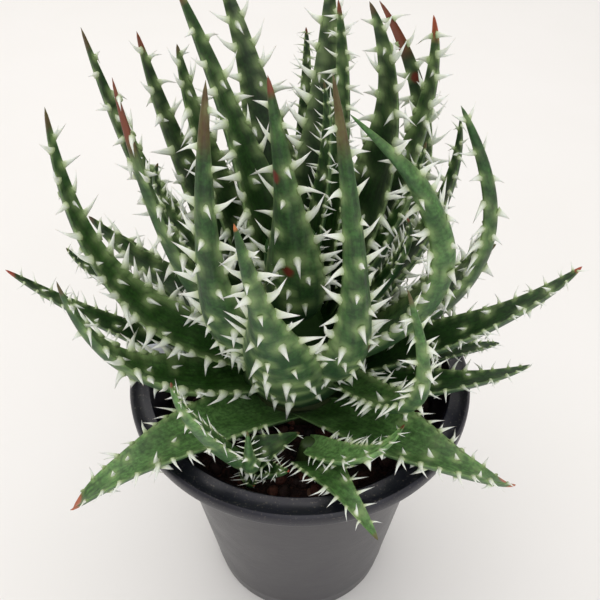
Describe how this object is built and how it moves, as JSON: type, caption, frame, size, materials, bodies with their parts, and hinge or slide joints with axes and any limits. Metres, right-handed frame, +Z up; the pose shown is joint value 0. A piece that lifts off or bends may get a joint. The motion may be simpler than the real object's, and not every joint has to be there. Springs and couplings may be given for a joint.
{
  "type": "potted aloe",
  "caption": "Toothed succulent rosette with offsets and a blank plant label, growing in a round tapered nursery pot; stands on its foot as a house plant or set dressing.",
  "frame": {"origin": "centre of the pot's foot, on the surface that the pot stands on", "axes": "+Z up along the pot's axis; +X to the plant's right and +Y to its back, for a viewer on the -Y side, where the two offsets are"},
  "size_m": [0.194, 0.149, 0.256],
  "materials": {
    "pot_plastic": "satin moulded polypropylene, charcoal grey",
    "growing_medium": "rough, dark brown gritty mix",
    "label_plastic": "smooth, off-white, blank",
    "leaf_base": "smooth, pale green leaf bases",
    "leaf_skin": "waxy green skin with whitish teeth and reddish tips"
  },
  "bodies": {
    "root": {"pot": "pot_plastic", "growing_medium": "growing_medium", "plant_label": "label_plastic", "main_head": "leaf_base", "west_offset_head": "leaf_base", "south_offset_head": "leaf_base", "outer_leaf_01": "leaf_skin", "outer_leaf_02": "leaf_skin", "outer_leaf_03": "leaf_skin", "outer_leaf_04": "leaf_skin", "outer_leaf_05": "leaf_skin", "outer_leaf_06": "leaf_skin", "outer_leaf_07": "leaf_skin", "outer_leaf_08": "leaf_skin", "outer_leaf_09": "leaf_skin", "outer_leaf_10": "leaf_skin", "outer_leaf_11": "leaf_skin", "outer_leaf_12": "leaf_skin", "outer_leaf_13": "leaf_skin", "outer_leaf_14": "leaf_skin", "middle_leaf_01": "leaf_skin", "middle_leaf_02": "leaf_skin", "middle_leaf_03": "leaf_skin", "middle_leaf_04": "leaf_skin", "middle_leaf_05": "leaf_skin", "middle_leaf_06": "leaf_skin", "middle_leaf_07": "leaf_skin", "middle_leaf_08": "leaf_skin", "middle_leaf_09": "leaf_skin", "middle_leaf_10": "leaf_skin", "middle_leaf_11": "leaf_skin", "middle_leaf_12": "leaf_skin", "middle_leaf_13": "leaf_skin", "middle_leaf_14": "leaf_skin", "middle_leaf_15": "leaf_skin", "inner_leaf_01": "leaf_skin", "inner_leaf_02": "leaf_skin", "inner_leaf_03": "leaf_skin", "inner_leaf_04": "leaf_skin", "inner_leaf_05": "leaf_skin", "inner_leaf_06": "leaf_skin", "inner_leaf_07": "leaf_skin", "inner_leaf_08": "leaf_skin", "inner_leaf_09": "leaf_skin", "inner_leaf_10": "leaf_skin", "inner_leaf_11": "leaf_skin", "heart_leaf_1": "leaf_skin", "heart_leaf_2": "leaf_skin", "west_offset_leaf_1": "leaf_skin", "west_offset_leaf_2": "leaf_skin", "west_offset_leaf_3": "leaf_skin", "west_offset_leaf_4": "leaf_skin", "west_offset_leaf_5": "leaf_skin", "south_offset_leaf_1": "leaf_skin", "south_offset_leaf_2": "leaf_skin"}
  },
  "joints": []
}
